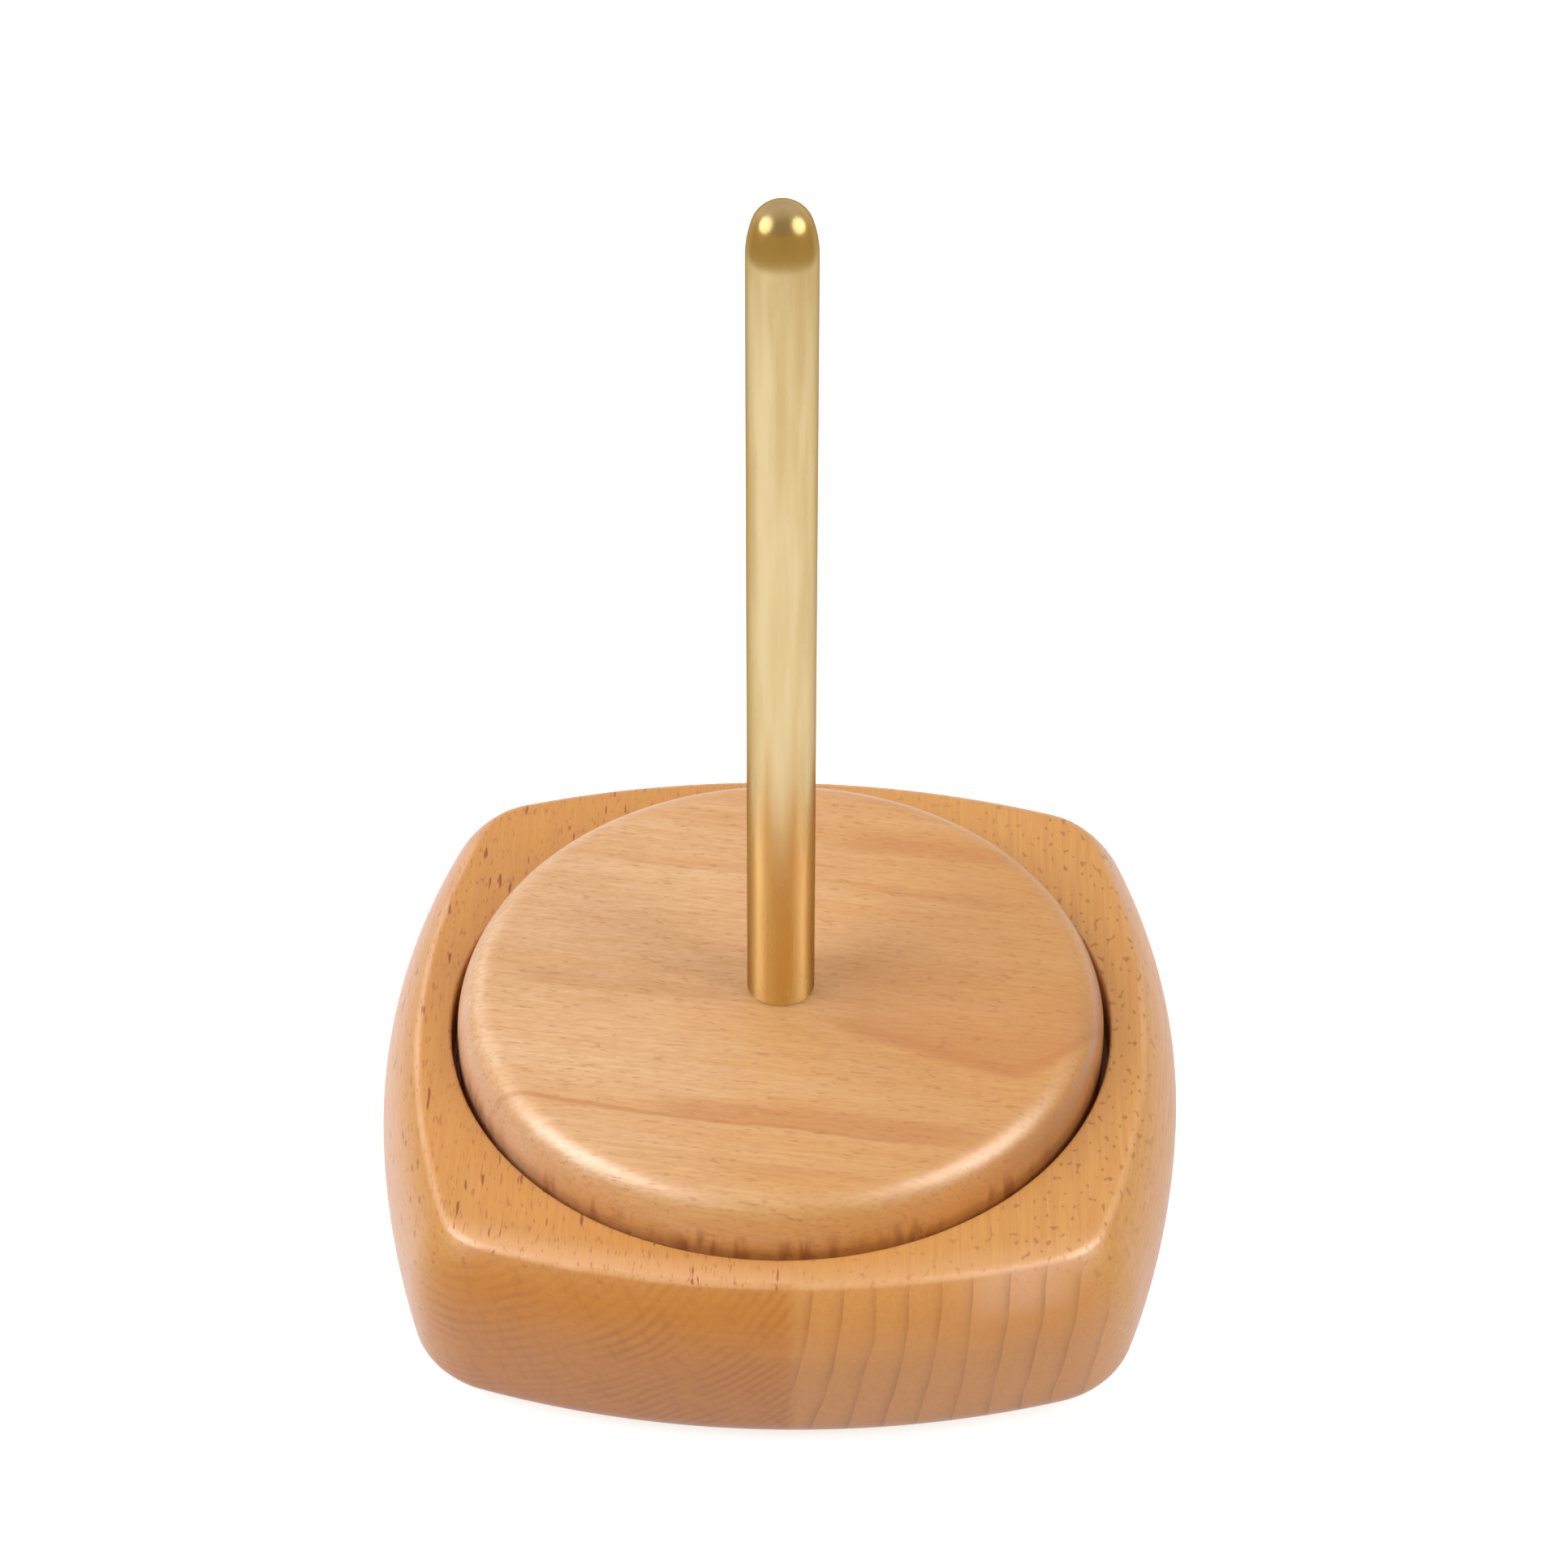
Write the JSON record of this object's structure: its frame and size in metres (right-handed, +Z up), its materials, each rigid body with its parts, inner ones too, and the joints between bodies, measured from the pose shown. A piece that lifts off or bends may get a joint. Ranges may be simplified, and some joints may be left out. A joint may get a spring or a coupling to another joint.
{
  "type": "yarn holder",
  "caption": "Table-top yarn holder: a bulged square beech block with a ball-bearing turntable let into its top and a straight brass spindle that carries the yarn.",
  "frame": {"origin": "on the table, under the spindle's axis, level with the undersides of the feet", "axes": "+Z up along the spindle, -Y towards the front, +X to the right"},
  "size_m": [0.12, 0.12, 0.1785],
  "materials": {
    "beech_block": "satin lacquered",
    "beech_turntable": "satin lacquered",
    "brass": "polished",
    "silicone": "matte",
    "bearing_steel": "ground",
    "ball_steel": "polished",
    "shield_steel": "pressed",
    "nylon": "moulded",
    "zinc_plate": "zinc plated",
    "screw_brass": "turned",
    "plug_plastic": "moulded",
    "hub_steel": "turned",
    "spring_steel": "blackened"
  },
  "bodies": {
    "base": {"base_block": "beech_block", "foot_front_left": "silicone", "foot_front_right": "silicone", "foot_rear_left": "silicone", "foot_rear_right": "silicone", "bearing_outer_ring": "bearing_steel", "bearing_upper_shield": "shield_steel", "bearing_lower_shield": "shield_steel", "bearing_retainer": "zinc_plate", "retainer_screws": "screw_brass", "access_plug": "plug_plastic"},
    "turntable": {"turntable_disc": "beech_turntable", "spindle_rod": "brass", "rod_stud": "zinc_plate", "turntable_hub": "hub_steel", "hub_screws": "zinc_plate", "bearing_inner_ring": "bearing_steel", "hub_washer": "zinc_plate", "hub_lock_washer": "spring_steel", "hub_screw": "zinc_plate"},
    "ball_set": {"bearing_cage": "nylon", "bearing_balls": "ball_steel"}
  },
  "joints": [
    {"name": "turntable_spin", "type": "hinge", "parent": "base", "child": "turntable", "pos_m": [0, 0, 0], "axis": [0, 0, 1], "continuous": true},
    {"name": "ball_set_orbit", "type": "hinge", "parent": "base", "child": "ball_set", "pos_m": [0, 0, 0], "axis": [0, 0, 1], "continuous": true}
  ],
  "couplings": [
    {"joint": "ball_set_orbit", "follows": "turntable_spin", "ratio": 0.3677}
  ]
}
